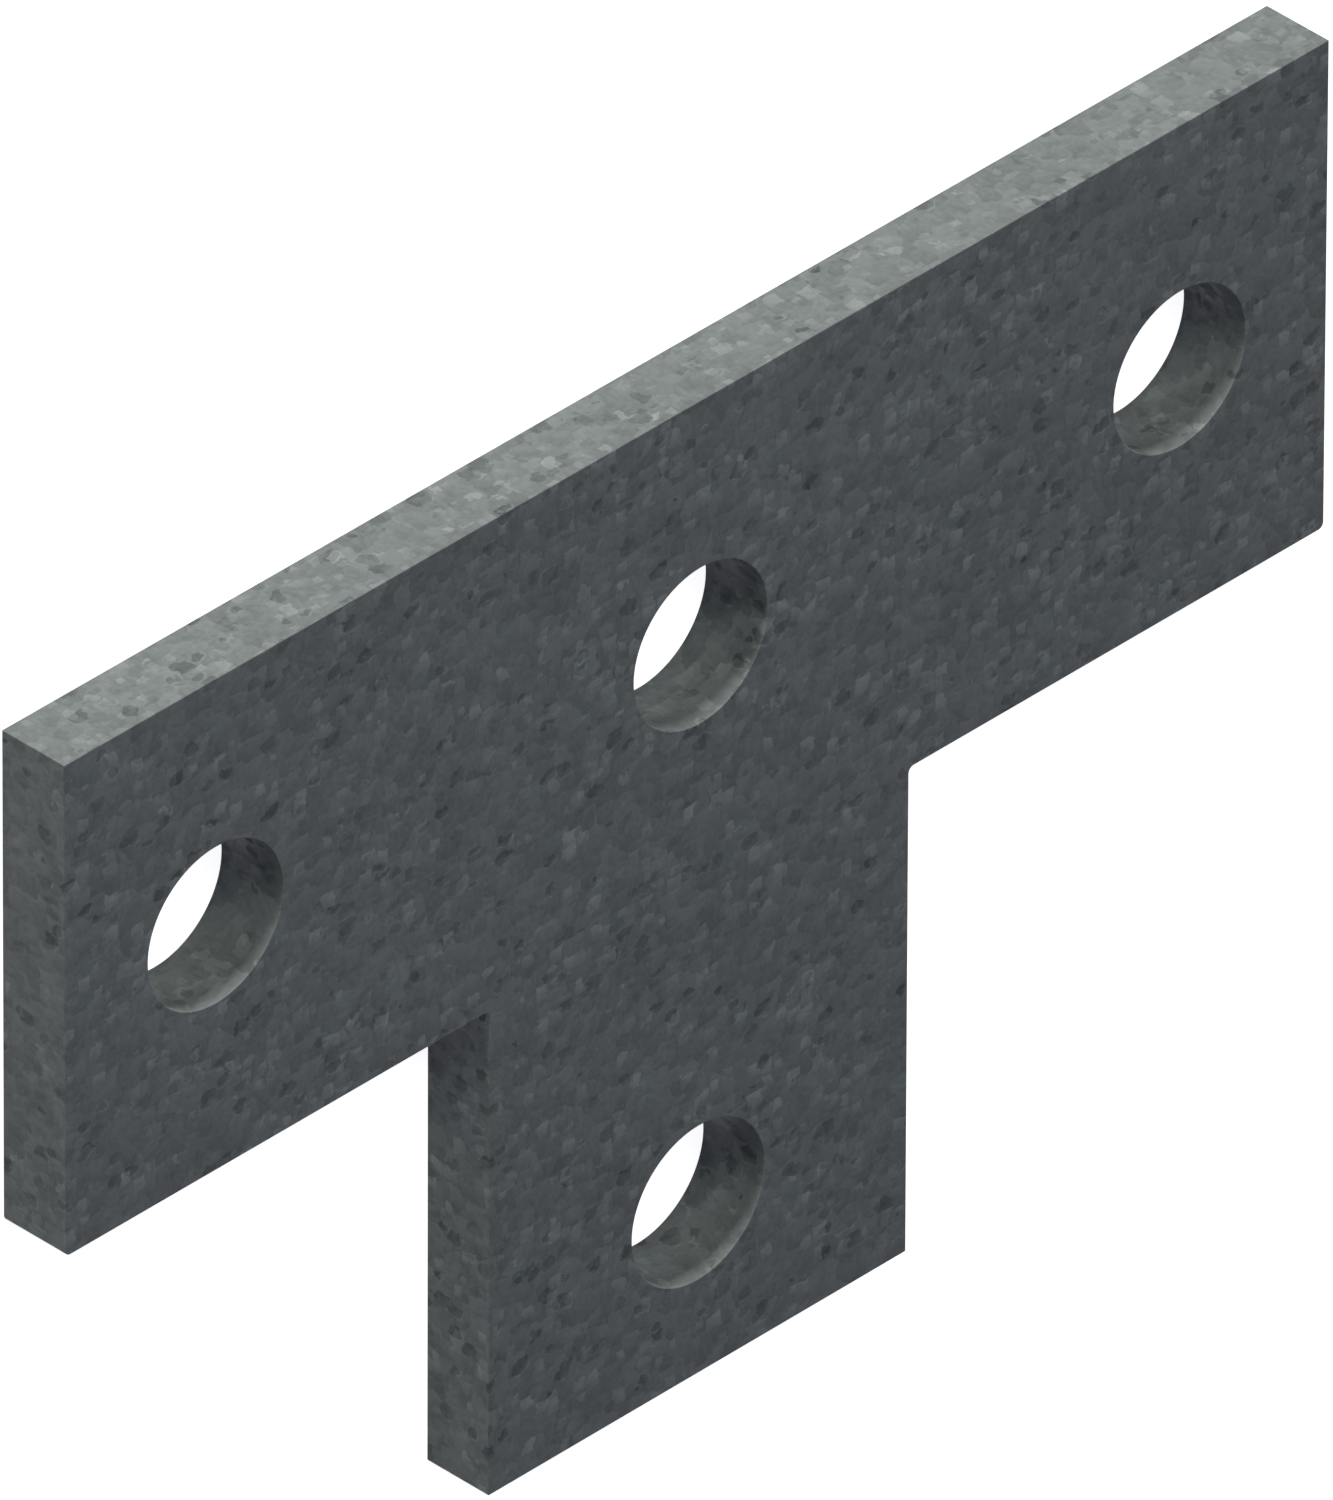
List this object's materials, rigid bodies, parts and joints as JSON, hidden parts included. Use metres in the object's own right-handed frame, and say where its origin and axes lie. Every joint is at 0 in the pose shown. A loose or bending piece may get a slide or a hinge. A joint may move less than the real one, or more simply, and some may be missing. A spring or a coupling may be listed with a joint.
{
  "type": "tee splice plate",
  "caption": "Flat tee-shaped steel plate with bolt holes along its arm and down its stem, for joining lengths of framing channel where a branch meets a run.",
  "frame": {"origin": "centre of the junction hole, where the arm meets the stem, on the plate's back face", "axes": "+X along the arm; -Y down the stem, so +Y points out of the tee's flat top edge; +Z out of the front face. The plate lies on its back face at z = 0."},
  "size_m": [0.123, 0.082, 0.006],
  "materials": {
    "zinc_coated_steel": "satin"
  },
  "bodies": {
    "root": {"tee_plate": "zinc_coated_steel"}
  },
  "joints": []
}
